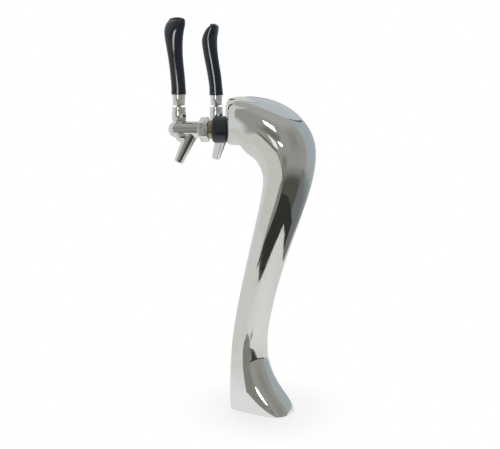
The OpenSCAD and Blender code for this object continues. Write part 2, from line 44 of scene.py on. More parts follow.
scene.view_settings.view_transform = "Standard"


# Small helpers

weld = 1e-6  # vertices closer than this are one
overlap = 0.001  # how far a cutter or a fused part reaches past the face it meets


def fromHex(text):
    values = [int(text[i:i + 2], 16) / 255 for i in (1, 3, 5)]
    return [v / 12.92 if v <= 0.04045 else ((v + 0.055) / 1.055) ** 2.4 for v in values] + [1]


def addNode(tree, kind, settings, links=None):
    node = tree.nodes.new(kind)
    for key, value in settings.items():
        if isinstance(key, int) or key in node.inputs:
            node.inputs[key].default_value = value
        else:
            setattr(node, key, value)
    for key, socket in (links or {}).items():
        tree.links.new(node.inputs[key], socket)
    return node


def pick(piece):
    bpy.ops.object.select_all(action="DESELECT")
    piece.select_set(True)
    bpy.context.view_layer.objects.active = piece


def applied(piece, kind, **settings):
    # adds a modifier and applies it at once
    pick(piece)
    modifier = piece.modifiers.new(kind.lower(), kind)
    for key, value in settings.items():
        setattr(modifier, key, value)
    bpy.ops.object.modifier_apply(modifier=modifier.name)
    return piece


def carve(piece, cutter, operation="DIFFERENCE"):
    applied(piece, "BOOLEAN", object=cutter, operation=operation, solver="EXACT")
    bpy.data.objects.remove(cutter)
    return piece


def smoothed(piece, degrees=32):
    pick(piece)
    bpy.ops.object.shade_smooth_by_angle(angle=math.radians(degrees))
    return piece


def softened(piece, width, degrees, segments=2):
    # the small radius that polishing leaves on an edge
    applied(piece, "BEVEL", width=width, segments=segments, limit_method="ANGLE",
            angle_limit=math.radians(degrees))
    return smoothed(piece)


def drawn(name, points):
    # one vertex pulled along a line of points; the piece stays in edit mode, with all of it selected
    bpy.ops.object.select_all(action="DESELECT")
    bpy.ops.mesh.primitive_plane_add(size=0.001)
    piece = bpy.context.object
    piece.name = name
    bpy.ops.object.mode_set(mode="EDIT")
    bpy.ops.mesh.select_all(action="SELECT")
    bpy.ops.mesh.merge(type="CENTER")
    bpy.ops.transform.translate(value=points[0])
    for (x, y, z), (nextX, nextY, nextZ) in zip(points, points[1:]):
        step = (nextX - x, nextY - y, nextZ - z)
        bpy.ops.mesh.extrude_region_move(TRANSFORM_OT_translate={"value": step})
    bpy.ops.mesh.select_all(action="SELECT")
    return piece


def faceOutward():
    # ends an edit with every normal pointing out
    bpy.ops.mesh.select_all(action="SELECT")
    bpy.ops.mesh.normals_make_consistent(inside=False)
    bpy.ops.object.mode_set(mode="OBJECT")


def turned(name, outline, segments=72):
    # points of radius and height, spun about the z axis like a piece on a lathe
    piece = drawn(name, [(radius, 0, height) for radius, height in outline])
    bpy.ops.mesh.spin(steps=segments, angle=2 * math.pi, center=(0, 0, 0), axis=(0, 0, 1))
    bpy.ops.mesh.select_all(action="SELECT")
    bpy.ops.mesh.remove_doubles(threshold=weld)
    faceOutward()
    return piece


def prism(name, outline, width):
    # points of y and z, joined up and pulled out along x
    piece = drawn(name, [(-width / 2, y, z) for y, z in outline + outline[:1]])
    bpy.ops.mesh.remove_doubles(threshold=weld)
    bpy.ops.mesh.edge_face_add()
    bpy.ops.mesh.extrude_region_move(TRANSFORM_OT_translate={"value": (width, 0, 0)})
    faceOutward()
    return piece


def ringSkin(name, rings):
    # a flat grid rolled up round a stack of rings, with its ends filled
    around, along = len(rings[0]), len(rings) - 1
    bpy.ops.object.select_all(action="DESELECT")
    bpy.ops.mesh.primitive_grid_add(x_subdivisions=around, y_subdivisions=along, size=2)
    piece = bpy.context.object
    piece.name = name
    for vertex in piece.data.vertices:
        turn = round((vertex.co.x + 1) / 2 * around) % around
        row = round((vertex.co.y + 1) / 2 * along)
        vertex.co = rings[row][turn]
    bpy.ops.object.mode_set(mode="EDIT")
    bpy.ops.mesh.select_all(action="SELECT")
    bpy.ops.mesh.remove_doubles(threshold=weld)
    bpy.ops.object.mode_set(mode="OBJECT")
    for ring in (rings[0], rings[-1]):
        middle = sum((Vector(p) for p in ring), Vector()) / around
        reach = max((Vector(p) - middle).length for p in ring) + 10 * weld
        pick(piece)
        bpy.ops.object.mode_set(mode="EDIT")
        bpy.ops.mesh.select_all(action="DESELECT")
        bpy.ops.mesh.select_non_manifold(extend=False)
        bpy.ops.object.mode_set(mode="OBJECT")
        for vertex in piece.data.vertices:
            vertex.select = vertex.select and (vertex.co - middle).length < reach
        bpy.ops.object.mode_set(mode="EDIT")
        bpy.ops.mesh.edge_face_add()
        bpy.ops.object.mode_set(mode="OBJECT")
    pick(piece)
    bpy.ops.object.mode_set(mode="EDIT")
    faceOutward()
    return piece


def placedSolid(piece):
    # puts a primitive's place into its mesh
    pick(piece)
    bpy.ops.object.transform_apply(location=True, rotation=True, scale=True)
    return piece


def copied(piece, name, place):
    twin = bpy.data.objects.new(name, piece.data.copy())
    scene.collection.objects.link(twin)
    twin.data.transform(place)
    twin.data.update()
    return twin


def finishPiece(piece, body, node, material, group):
    # gives a piece its body and its material, hides the solid it stands for and links it to the lamps that it
    # shows
    litGroups[group].objects.link(piece)
    piece.data.materials.clear()
    piece.data.materials.append(material)
    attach(piece, body)
    if node:
        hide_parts(node)


# Camera, set where the photograph was taken from

cameraView = {"place": (1.015, 0.566, 0.469), "azimuth": 120.2, "pitch": 8.8, "lens": 56.16, "sensor": 36,
              "clipStart": 0.01}


def placeCamera(view):
    azimuth, pitch = math.radians(view["azimuth"]), math.radians(view["pitch"])
    level = Vector((math.sin(azimuth), -math.cos(azimuth), 0))
    back = level * math.cos(pitch) + Vector((0, 0, math.sin(pitch)))
    right = Vector((0, 0, 1)).cross(back).normalized()
    up = back.cross(right)
    lensData = bpy.data.cameras.new("studioCamera")
    lensData.lens = view["lens"]
    lensData.sensor_width = view["sensor"]
    lensData.clip_start = view["clipStart"]
    camera = bpy.data.objects.new("studioCamera", lensData)
    scene.collection.objects.link(camera)
    camera.matrix_world = Matrix.Translation(view["place"]) @ Matrix((right, up, back)).transposed().to_4x4()
    scene.camera = camera


placeCamera(cameraView)
print("camera placed")


# Studio: the room that the chrome mirrors, soft boxes, a white table and a grey card

# each zone of the room has its angles round from the camera and its heights in degrees, and covers the zones
# before it; lean slants its sides; they were placed on a map of the photograph's reflections, traced back off
# the column
studioRoom = {
    "paper": "#e6e7e3",
    "diffuseLevel": 0.72,
    "zones": [
        {"colour": "#eaecf0", "left": -190, "right": -58.2, "low": -15, "high": 2, "soft": 5},
        {"colour": "#bcbbb6", "left": -400, "right": 400, "low": 61, "high": 200, "soft": 3},
        {"colour": "#d0d7dd", "left": -190, "right": -150, "low": 66, "high": 200, "soft": 6},
        {"colour": "#94938e", "left": -59.6, "right": 180, "low": -400, "high": -8, "soft": 1},
        {"colour": "#5b5b55", "left": -16.2, "right": 85.8, "low": -400, "high": -21, "soft": 4},
        {"colour": "#7b7f7e", "left": 81.8, "right": 159.8, "low": -400, "high": -14, "soft": 5},
        {"colour": "#a9a8a2", "left": -59.6, "right": 180, "low": -15, "high": 200, "soft": 2.5},
        {"colour": "#b9b9b3", "left": -56.2, "right": 180, "low": 52, "high": 200, "soft": 9},
        {"colour": "#9c9b95", "left": 25.8, "right": 65.8, "low": 6, "high": 46, "soft": 12},
        {"colour": "#b7bfc4", "left": 97.8, "right": 180, "low": -16, "high": 60, "soft": 12},
        {"colour": "#d0d7dd", "left": 175, "right": 600, "low": 18, "high": 92, "soft": 1.0, "lean": -1.1},
        {"colour": "#5a5b5b", "left": 173.4, "right": 176, "low": 21, "high": 55, "soft": 0.9, "lean": -1.1},
        {"colour": "#827f79", "left": -56, "right": -32, "low": 9, "high": 26, "soft": 4, "lean": 0.9},
        {"colour": "#8b8b83", "left": -22.2, "right": 1.8, "low": -16, "high": -3, "soft": 5},
        {"colour": "#e2e0d9", "left": -110, "right": -47, "low": -20, "high": -4, "soft": 0.9, "lean": -1.4},
        {"colour": "#67645f", "left": -48, "right": -45.4, "low": -21, "high": -4, "soft": 0.9, "lean": -1.4},
        {"colour": "#67645f", "left": -54.2, "right": -38.2, "low": -4.4, "high": -1.6, "soft": 1.0}]}


def zoneMask(tree, across, height, zone):
    # 1 inside the zone, falling to 0 over its soft edge
    if "lean" in zone:
        shift = addNode(tree, "ShaderNodeMath", {"operation": "MULTIPLY", 1: zone["lean"]}, {0: height})
        lean = addNode(tree, "ShaderNodeMath", {"operation": "SUBTRACT"}, {0: across, 1: shift.outputs[0]})
        across = lean.outputs[0]
    soft = zone["soft"]
    mask = None
    for value, edge, inward in ((across, "left", 1), (across, "right", -1),
                                (height, "low", 1), (height, "high", -1)):
        side = addNode(tree, "ShaderNodeMapRange", {
            "interpolation_type": "SMOOTHSTEP", "From Min": zone[edge] - soft * inward,
            "From Max": zone[edge] + soft * inward}, {"Value": value})
        if mask is None:
            mask = side.outputs[0]
        else:
            mask = addNode(tree, "ShaderNodeMath", {"operation": "MULTIPLY"},
                           {0: mask, 1: side.outputs[0]}).outputs[0]
    return mask


def lightRoom(room):
    world = bpy.data.worlds.new("studioRoom")
    scene.world = world
    world.use_nodes = True
    tree = world.node_tree
    tree.nodes.clear()
    azimuth = math.radians(cameraView["azimuth"])
    towards = (math.sin(azimuth), -math.cos(azimuth), 0)
    aside = (math.cos(azimuth), math.sin(azimuth), 0)
    ray = addNode(tree, "ShaderNodeTexCoord", {}).outputs["Generated"]
    front = addNode(tree, "ShaderNodeVectorMath", {"operation": "DOT_PRODUCT", 1: towards}, {0: ray})
    side = addNode(tree, "ShaderNodeVectorMath", {"operation": "DOT_PRODUCT", 1: aside}, {0: ray})
    angle = addNode(tree, "ShaderNodeMath", {"operation": "ARCTAN2"},
                    {0: side.outputs["Value"], 1: front.outputs["Value"]})
    across = addNode(tree, "ShaderNodeMath", {"operation": "DEGREES"}, {0: angle.outputs[0]}).outputs[0]
    upward = addNode(tree, "ShaderNodeSeparateXYZ", {}, {0: ray})
    rise = addNode(tree, "ShaderNodeMath", {"operation": "ARCSINE"}, {0: upward.outputs["Z"]})
    height = addNode(tree, "ShaderNodeMath", {"operation": "DEGREES"}, {0: rise.outputs[0]}).outputs[0]
    colour = addNode(tree, "ShaderNodeRGB", {})
    colour.outputs[0].default_value = fromHex(room["paper"])
    seen = colour.outputs[0]
    for zone in room["zones"]:
        mask = zoneMask(tree, across, height, zone)
        seen = addNode(tree, "ShaderNodeMix", {"data_type": "RGBA", "B": fromHex(zone["colour"])},
                       {"Factor": mask, "A": seen}).outputs["Result"]
    path = addNode(tree, "ShaderNodeLightPath", {})
    mirrored = addNode(tree, "ShaderNodeMath", {"operation": "MAXIMUM"},
                       {0: path.outputs["Is Glossy Ray"], 1: path.outputs["Is Transmission Ray"]})
    level = [room["diffuseLevel"]] * 3 + [1]
    plain = addNode(tree, "ShaderNodeMix", {"data_type": "RGBA", "A": level},
                    {"Factor": mirrored.outputs[0], "B": seen})
    white = addNode(tree, "ShaderNodeMix", {"data_type": "RGBA", "B": (1, 1, 1, 1)},
                    {"Factor": path.outputs["Is Camera Ray"], "A": plain.outputs["Result"]})
    background = addNode(tree, "ShaderNodeBackground", {}, {"Color": white.outputs["Result"]})
    addNode(tree, "ShaderNodeOutputWorld", {}, {"Surface": background.outputs[0]})


lightRoom(studioRoom)

# soft boxes that only mirrored rays see; each shows on one part of the object, as flags and grids
# round a real soft box would have it
softBoxes = [
    {"name": "highBox", "on": "column", "place": (1.86, 0.23, 1.66), "aim": (0, 0, 0.45),
     "size": (0.54, 0.34), "glow": 8},
    {"name": "lowBox", "on": "column", "place": (1.86, -0.17, 0.56), "aim": (0, 0, 0.5),
     "size": (0.34, 0.3), "glow": 0.75},
    {"name": "footBox", "on": "column", "place": (1.75, 0.41, 0.56), "aim": (0, 0, 0),
     "size": (0.45, 0.5), "glow": 0.35, "spread": 18},
    {"name": "gripBox", "on": "grips", "place": (2, 0.42, 0.95), "aim": (0, -0.1, 0.95),
     "size": (0.36, 1.05), "glow": 5},
    {"name": "handleBox", "on": "handles", "place": (2, 0.5, 0.95), "aim": (0, -0.1, 0.95),
     "size": (0.7, 2), "glow": 11}]
skyLamp = {"place": (-0.9, -1.1, 1.9), "aim": (0, 0, 0.25), "size": 1.3, "power": 14}


def hangLamp(name, lamp, power):
    lightData = bpy.data.lights.new(name, "AREA")
    lightData.energy = power
    light = bpy.data.objects.new(name, lightData)
    scene.collection.objects.link(light)
    light.location = lamp["place"]
    aim = Vector(lamp["aim"]) - Vector(lamp["place"])
    light.rotation_euler = aim.to_track_quat("-Z", "Y").to_euler()
    return light


litGroups = {name: bpy.data.collections.new(name + "Lit") for name in ("column", "taps", "grips", "handles")}
for box in softBoxes:
    area = box["size"][0] * box["size"][1]
    light = hangLamp(box["name"], box, box["glow"] * math.pi * area)
    light.data.shape = "RECTANGLE"
    light.data.size, light.data.size_y = box["size"]
    light.data.spread = math.radians(box.get("spread", 180))
    light.visible_diffuse = False
    light.light_linking.receiver_collection = litGroups[box["on"]]
light = hangLamp("skyLamp", skyLamp, skyLamp["power"])
light.data.shape = "DISK"
light.data.size = skyLamp["size"]
light.visible_glossy = False

# the white table ends on the camera's side in a dark strip of painted shade, standing for the shadowed gap
# past its edge, which the neck mirrors as a black wedge; the table's points follow the photograph's wedge,
# traced back off the column to the table
tableEdge = [(-0.95, -1.4), (-0.95, 0.02), (-0.48, 0.16), (-0.3, 0.3), (-0.136, 0.382), (0.03, 0.41),
             (0.136, 0.335), (0.26, 0.228), (0.375, 0.1), (0.5, -0.035), (0.6, -0.19), (0.64, -0.354),
             (0.8, -0.5), (0.95, -1.4)]
gapShadeStrip = [(0.3, -0.3), (-0.2, 0.1), (-0.35, 0.38), (-0.136, 0.47), (0.03, 0.52), (0.25, 0.54),
             (0.45, 0.47), (0.62, 0.36), (0.74, 0.24), (0.655, 0.13), (0.645, 0), (0.66, -0.2),
             (0.65, -0.38)]
# the edge colour is painted shade: it stands for the shadowed gap past the table's edge
table = {"paintedPoolNearTower": "#ffffff", "paper": "#e9e8e4", "edge": "#3a3a36",
         "height": -0.0002, "edgeHeight": -0.0015, "shade": 0.7, "shadeStart": 0.03, "shadeEnd": 0.16,
         # the white near the tower and the two distances below paint a pool of light on the sheet that
         # mirrored rays see
         "paintedPoolStart": 0.12, "paintedPoolEnd": 0.42}
# a card round the foot that only mirrored rays see; its tops are angles in degrees and heights,
# and follow the grey patch in the photograph, traced back the same way
card = {"colour": "#94928b", "radius": 0.16, "foot": -0.0001, "tops": [
    (62.5, 0.064), (68, 0.074), (82, 0.076), (96, 0.067), (112, 0.059), (126, 0.054)]}


def bareMaterial(name):
    # a material whose nodes are all built here
    material = bpy.data.materials.new(name)
    material.use_nodes = True
    material.node_tree.nodes.clear()
    return material, material.node_tree


def stagePaper(name, nearColour, colour, outline, height):
    bpy.ops.object.select_all(action="DESELECT")
    bpy.ops.mesh.primitive_circle_add(vertices=len(outline), radius=1, fill_type="NGON")
    sheet = bpy.context.object
    sheet.name = name
    for vertex, (x, y) in zip(sheet.data.vertices, outline):
        vertex.co = (x, y, height)
    pick(sheet)
    bpy.ops.object.mode_set(mode="EDIT")
    bpy.ops.mesh.select_all(action="SELECT")
    bpy.ops.mesh.quads_convert_to_tris()
    bpy.ops.mesh.normals_make_consistent(inside=False)
    bpy.ops.object.mode_set(mode="OBJECT")
    material, tree = bareMaterial(name + "Matt")
    # matt paper, which the camera sees as pure white apart from the object's soft shadow
    paper = addNode(tree, "ShaderNodeBsdfDiffuse", {"Color": fromHex(colour)})
    glow = addNode(tree, "ShaderNodeEmission", {"Color": (1, 1, 1, 1)})
    place = addNode(tree, "ShaderNodeTexCoord", {})
    distance = addNode(tree, "ShaderNodeVectorMath", {"operation": "LENGTH"}, {0: place.outputs["Object"]})
    fade = addNode(tree, "ShaderNodeMapRange", {
        "interpolation_type": "SMOOTHSTEP", "From Min": table["shadeStart"], "From Max": table["shadeEnd"],
        "To Min": table["shade"], "To Max": 1}, {"Value": distance.outputs["Value"]})
    path = addNode(tree, "ShaderNodeLightPath", {})
    amount = addNode(tree, "ShaderNodeMath", {"operation": "MULTIPLY"},
                     {0: fade.outputs[0], 1: path.outputs["Is Camera Ray"]})
    lit = addNode(tree, "ShaderNodeMixShader", {},
                  {0: amount.outputs[0], 1: paper.outputs[0], 2: glow.outputs[0]})
    # painted pool of light: mirrored rays see the sheet glow, brightest near the tower, as though lit there
    fall = addNode(tree, "ShaderNodeMapRange", {
        "From Min": table["paintedPoolStart"], "From Max": table["paintedPoolEnd"]}, {"Value": distance.outputs["Value"]})
    paintedPoolGlow = addNode(tree, "ShaderNodeMix", {
        "data_type": "RGBA", "A": fromHex(nearColour), "B": fromHex(colour)}, {"Factor": fall.outputs[0]})
    even = addNode(tree, "ShaderNodeEmission", {}, {"Color": paintedPoolGlow.outputs["Result"]})
    blend = addNode(tree, "ShaderNodeMixShader", {},
                    {0: path.outputs["Is Glossy Ray"], 1: lit.outputs[0], 2: even.outputs[0]})
    addNode(tree, "ShaderNodeOutputMaterial", {}, {"Surface": blend.outputs[0]})
    sheet.data.materials.append(material)


def stageCard(name):
    points, faces = [], []
    for degrees, top in card["tops"]:
        angle = math.radians(degrees)
        x, y = card["radius"] * math.sin(angle), -card["radius"] * math.cos(angle)
        points += [(x, y, card["foot"]), (x, y, top)]
    for i in range(0, len(points) - 2, 2):
        faces.append((i, i + 1, i + 3, i + 2))
    mesh = bpy.data.meshes.new(name)
    mesh.from_pydata(points, [], faces)
    sheet = bpy.data.objects.new(name, mesh)
    scene.collection.objects.link(sheet)
    sheet.visible_camera = sheet.visible_diffuse = sheet.visible_shadow = False
    material, tree = bareMaterial("greyCard")
    even = addNode(tree, "ShaderNodeEmission", {"Color": fromHex(card["colour"])})
    addNode(tree, "ShaderNodeOutputMaterial", {}, {"Surface": even.outputs[0]})
    mesh.materials.append(material)


stageCard("footCard")
stagePaper("tablePaper", table["paintedPoolNearTower"], table["paper"], tableEdge, table["height"])
# painted shade: a dark sheet past the table's edge that mirrored rays see in place of the shadowed gap
stagePaper("tableGapShadeStrip", table["edge"], table["edge"], gapShadeStrip, table["edgeHeight"])
print("studio lit")


# Materials

def newMaterial(name, settings):
    material = bpy.data.materials.new(name)
    material.use_nodes = True
    tree = material.node_tree
    shader = tree.nodes["Principled BSDF"]
    for key, value in settings.items():
        shader.inputs[key].default_value = value
    return material, tree, shader


def objectNoise(tree, sizeMm, detail=2, stretch=(1, 1, 1)):
    # noise whose blobs are about sizeMm across on the object
    place = addNode(tree, "ShaderNodeTexCoord", {})
    mapping = addNode(tree, "ShaderNodeMapping", {"Scale": stretch}, {"Vector": place.outputs["Object"]})
    return addNode(tree, "ShaderNodeTexNoise", {"Scale": 1000 / sizeMm, "Detail": detail},
                   {"Vector": mapping.outputs[0]}).outputs["Fac"]


def tinted(tree, shader, noise, light, dark):
    tint = addNode(tree, "ShaderNodeMix", {"data_type": "RGBA", "A": fromHex(light), "B": fromHex(dark)},
                   {"Factor": noise})
    tree.links.new(shader.inputs["Base Color"], tint.outputs["Result"])


def glossed(tree, shader, noise, rough, spread=(0, 1)):
    # spread is the part of the noise over which the roughness goes from its low to its high value
    ends = {"From Min": spread[0], "From Max": spread[1], "To Min": rough[0], "To Max": rough[1]}
    level = addNode(tree, "ShaderNodeMapRange", ends, {"Value": noise})
    tree.links.new(shader.inputs["Roughness"], level.outputs[0])


def bumped(tree, shader, noise, strength, depthMm):
    bump = addNode(tree, "ShaderNodeBump", {"Strength": strength, "Distance": depthMm / 1000},
                   {"Height": noise})
    tree.links.new(shader.inputs["Normal"], bump.outputs[0])


def chromePlate(name, rippleMm, ripple, smearMm):
    # bright chrome plate on a buffed casting: a cool mirror, with the wheel's faint ripple and wiped smears
    material, tree, shader = newMaterial(name, {"Metallic": 1})
    smear = objectNoise(tree, smearMm, detail=4)
    tinted(tree, shader, smear, "#dadcd9", "#d2d5d3")
    glossed(tree, shader, smear, rough=(0.03, 0.09), spread=(0.35, 0.75))
    bumped(tree, shader, objectNoise(tree, rippleMm, detail=1), ripple, depthMm=1)
    return material


def polishedPhenolic():
    # black compression-moulded phenolic, buffed: deep black under a clear gloss, with hairline marks
    material, tree, shader = newMaterial("polishedPhenolic", {"IOR": 1.48})
    tinted(tree, shader, objectNoise(tree, 12, detail=3), "#0a1520", "#121f2b")
    glossed(tree, shader, objectNoise(tree, 1.2, stretch=(1, 1, 0.12)), rough=(0.09, 0.2))
    return material


def mouldedAbs():
    # black injection-moulded ABS: an even satin with the fine orange peel of the tool
    material, tree, shader = newMaterial("mouldedAbs", {"IOR": 1.54})
    tinted(tree, shader, objectNoise(tree, 9), "#181e23", "#23292f")
    peel = objectNoise(tree, 0.9)
    glossed(tree, shader, peel, rough=(0.24, 0.36))
    bumped(tree, shader, peel, strength=0.08, depthMm=0.2)
    return material


def machinedMetal(name, light, dark, rough, grainMm):
    # turned or drawn metal: fine tool marks show as a soft change of shade and gloss
    material, tree, shader = newMaterial(name, {"Metallic": 1})
    grain = objectNoise(tree, grainMm, detail=3, stretch=(1, 1, 4))
    tinted(tree, shader, grain, light, dark)
    glossed(tree, shader, grain, rough)
    bumped(tree, shader, grain, strength=0.15, depthMm=0.1)
    return material


def softPolymer(name, light, dark, rough, grainMm):
    # rubber, nylon and hose: matt, with a slight mottle and a fine moulded grain
    material, tree, shader = newMaterial(name, {"Roughness": rough, "IOR": 1.5})
    grain = objectNoise(tree, grainMm, detail=4)
    tinted(tree, shader, grain, light, dark)
    bumped(tree, shader, grain, strength=0.2, depthMm=0.1)
    return material


finishes = {
    "tower_chrome": chromePlate("buffedChromeCasting", rippleMm=26, ripple=0.02, smearMm=14),
    "chrome": chromePlate("chromePlatedBrass", rippleMm=7, ripple=0.015, smearMm=6),
    "handle": polishedPhenolic(),
    "collar": mouldedAbs(),
    "brass": machinedMetal("turnedBrass", "#cda964", "#a98646", rough=(0.18, 0.32), grainMm=1.5),
    "steel": machinedMetal("turnedStainlessSteel", "#c4c5c3", "#a3a5a4", rough=(0.16, 0.3), grainMm=1.2),
    "seal": softPolymer("mouldedNitrileRubber", "#1a1a1a", "#101010", rough=0.6, grainMm=0.8),
    "gasket": softPolymer("pressedRubberSheet", "#242424", "#181818", rough=0.75, grainMm=1.2),
    "nylon": softPolymer("turnedNylon", "#e6e3d6", "#d6d2c2", rough=0.4, grainMm=1.5),
    "hose": softPolymer("extrudedPolythene", "#cfd5d8", "#bcc4c8", rough=0.35, grainMm=3)}
# black-oxide steel on the lock screws: nearly black, with a dull metal sheen
blackSteel = machinedMetal("blackenedSteel", "#2a2b30", "#1d1e22", rough=(0.22, 0.36), grainMm=1.2)
# brass under a thin nickel wash: a pale, warm metal with duller streaks
paleBrass = machinedMetal("nickelWashedBrass", "#cfc9b2", "#a8a084", rough=(0.16, 0.3), grainMm=1.5)

slotOf = {part["node"]: part["material_slot"] for part in frame["record"]["subparts"]}
for nodeName, nodeObject in frame["nodes"].items():
    for materialSlot in nodeObject.material_slots:
        materialSlot.material = blackSteel if nodeName.endswith("lock_screw") else finishes[slotOf[nodeName]]
print("materials made")


# Column: the slices of the frame's column, drawn finer and evened out so that the chrome reflects
# smoothly; three rows low on the column are up to 2 mm wider on each side than in the frame, and
# evening out takes up to 2 mm off the rear of the head

column = {
    "height": 0.48, "footHeight": 0.08, "bendHeight": 0.2, "footDepth": 0.096,
    "footWidth": 0.066, "waistWidth": 0.054, "headWidth": 0.096,
    "noseDepth": 0.033, "noseSquareness": 2.2, "noseEdgeSquareness": 4, "noseRoundness": 4,
    "noseTop": 2.89, "noseChin": 2.632, "rimInset": 0.0023, "pocketHeight": 0.0065,
    "steps": 14, "passes": 45, "sides": 144, "noseSlices": 48, "noseEndAngle": 89}

# front y and height, rear y and height, foot and head shares of the width, front and rear squareness;
# a height of 0 to 1 lies in the foot's flare, 1 to 2 in the stem and 2 to 3 in the bent neck and head;
# most front and rear values are a fit program's, on the photograph's outline, rounded
columnShares = [
    (-0.5, 0, 0.5, 0, 1, 0, 5, 2.8),
    (-0.51, 0.15, 0.44, 0.18, 1, 0, 5, 2.5),
    (-0.51, 0.5, 0.167, 0.55, 0.7, 0, 5, 2.2),
    (-0.5, 1, 0.02, 1.02, 0.24, 0, 4.8, 2.1),
    (-0.448, 1.25, 0.042, 1.25, 0.06, 0, 4.2, 2.1),
    (-0.323, 1.55, 0.177, 1.53, 0, 0.1, 3.6, 2.1),
    (-0.167, 1.85, 0.354, 1.8, 0, 0.24, 3.3, 2.1),
    (0, 2.15, 0.542, 2.06, 0, 0.48, 3, 2.1),
    (0.094, 2.36, 0.771, 2.375, 0, 0.67, 2.8, 2.1),
    (0.076, 2.45, 0.8125, 2.675, 0, 0.86, 2.7, 2.2),
    (-0.051, 2.534, 0.52, 2.87, 0, 0.95, 2.5, 2.3),
    (-0.13, 2.58, 0.135, 2.97, 0, 1, 4.2, 2.4),
    (-0.234, 2.637, -0.234, 3, 0, 1, 3.8, 2.6)]


def mix(a, b, share):
    return a + (b - a) * share


def signedPower(value, power):
    return math.copysign(abs(value) ** power, value)


def smoothRows(shares, steps, passes=0):
    # a curve through every row, as in the frame's own source; the passes even out the jumps
    # in its curvature, which chrome would show
    rows = []
    last = len(shares) - 1
    for i in range(last):
        a, b, c, d = shares[max(i - 1, 0)], shares[i], shares[i + 1], shares[min(i + 2, last)]
        for k in range(steps):
            t = k / steps
            rows.append([q + ((r - p) * t + (2 * p - 5 * q + 4 * r - s) * t * t
                              + (3 * q - p - 3 * r + s) * t ** 3) / 2 for p, q, r, s in zip(a, b, c, d)])
    rows.append(list(shares[last]))
    for _ in range(passes):
        rows = [rows[0]] + [[(p + 2 * q + r) / 4 for p, q, r in zip(a, b, c)]
                            for a, b, c in zip(rows, rows[1:], rows[2:])] + [rows[-1]]
    return rows


def sliceRing(front, rear, halfWidth, frontPower, rearPower, corners):
    # a rounded slice between a front and a rear point, each of y and z
    ring = []
    for j in range(corners):
        turn = 2 * math.pi * j / corners
        depth = math.sin(turn)
        power = 2 / (frontPower if depth < 0 else rearPower)
        share = (1 + signedPower(depth, power)) / 2
        ring.append((halfWidth * signedPower(math.cos(turn), power),
                     mix(front[0], rear[0], share), mix(front[1], rear[1], share)))
    return ring


def heightAt(share):
    stem = column["height"] - column["footHeight"] - column["bendHeight"]
    return (min(share, 1) * column["footHeight"] + max(min(share - 1, 1), 0) * stem
            + max(share - 2, 0) * column["bendHeight"])


def columnRing(row, inset=0.0):
    front = (row[0] * column["footDepth"] + inset, heightAt(row[1]))
    rear = (row[2] * column["footDepth"] - inset, heightAt(row[3]))
    width = (row[4] * column["footWidth"] + row[5] * column["headWidth"]
             + (1 - row[4] - row[5]) * column["waistWidth"])
    return sliceRing(front, rear, width / 2 - inset, row[6], row[7], column["sides"])


def noseRing(turn):
    last = columnShares[-1]
    edge = 1 - (1 - math.sin(turn) ** column["noseRoundness"]) ** (1 / column["noseRoundness"])
    power = 2 / column["noseSquareness"]
    y = last[0] * column["footDepth"] - column["noseDepth"] * math.sin(turn) ** power
    low = heightAt(mix(last[1], column["noseChin"], edge))
    high = heightAt(mix(last[3], column["noseTop"], edge))
    squareness = [mix(last[k], column["noseEdgeSquareness"], math.sin(turn)) for k in (6, 7)]
    return sliceRing((y, low), (y, high), column["headWidth"] / 2 * math.cos(turn) ** power,
                     squareness[0], squareness[1], column["sides"])


def buildColumn():
    foot = columnRing(columnShares[0], column["rimInset"])
    pocket = [(x, y, column["pocketHeight"]) for x, y, z in foot]
    rings = [pocket, foot]
    rings += [columnRing(row) for row in smoothRows(columnShares, column["steps"], column["passes"])]
    end, slices = math.radians(column["noseEndAngle"]), column["noseSlices"]
    rings += [noseRing(end * i / slices) for i in range(1, slices + 1)]
    shell = ringSkin("towerColumn", rings)
    return smoothed(shell, degrees=50)


finishPiece(buildColumn(), "tower", "tower_column", finishes["tower_chrome"], "column")
print("column made")


# Taps, each modelled once along -y from the head's face and then copied to both places

tap = {
    "seat": (0.0245, -0.0518, 0.431), "splay": 22.5, "reach": 0.071,
    "barrelRadius": 0.01225, "barrelStart": 0.0386, "domeOffset": 0.004, "threadRadius": 0.0135,
    "threadStart": 0.0326, "uprightRadius": 0.009, "uprightTop": 0.0257, "spoutRoot": 0.0496,
    "spoutLean": 25.5, "spoutLength": 0.054, "spoutRootRadius": 0.011, "spoutTipRadius": 0.00675,
    "spoutBore": 0.0045, "spoutBoreStart": 0.005, "webRadius": 0.0115, "webBack": 0.005,
    "webDrop": 0.008, "boreRadius": 0.007, "boreStart": 0.0475, "boreEnd": 0.0785,
    "pocketRadius": 0.0079, "pocketFloor": 0.0175, "valveFace": 0.045, "valveHole": 0.0045,
    "pivot": 0.026, "lugWayWidth": 0.0058,
    "lugWay": [(-0.0029, 0), (-0.0029, -0.0211), (0.01145, -0.0211), (0.01145, -0.0163),
               (0.00985, -0.0163), (0.0026, 0)],
    "voxel": 0.0005, "polish": 12}

forward = Matrix.Rotation(math.pi / 2, 4, "X")  # turns z, up, into -y, forward
sides = {"right": 1, "left": -1}


def onHead(side):
    x, y, z = tap["seat"]
    turn = Matrix.Rotation(side * math.radians(tap["splay"]), 4, "Z")
    return Matrix.Translation((side * x, y, z)) @ turn


def atLever(z=0.0):
    return Matrix.Translation((0, -tap["reach"], z))


def rodOutline(radius, start, end):
    return [(0, start), (radius, start), (radius, end), (0, end)]


def arc(first, last, steps=14):
    return [mix(first, last, i / steps) for i in range(steps + 1)]


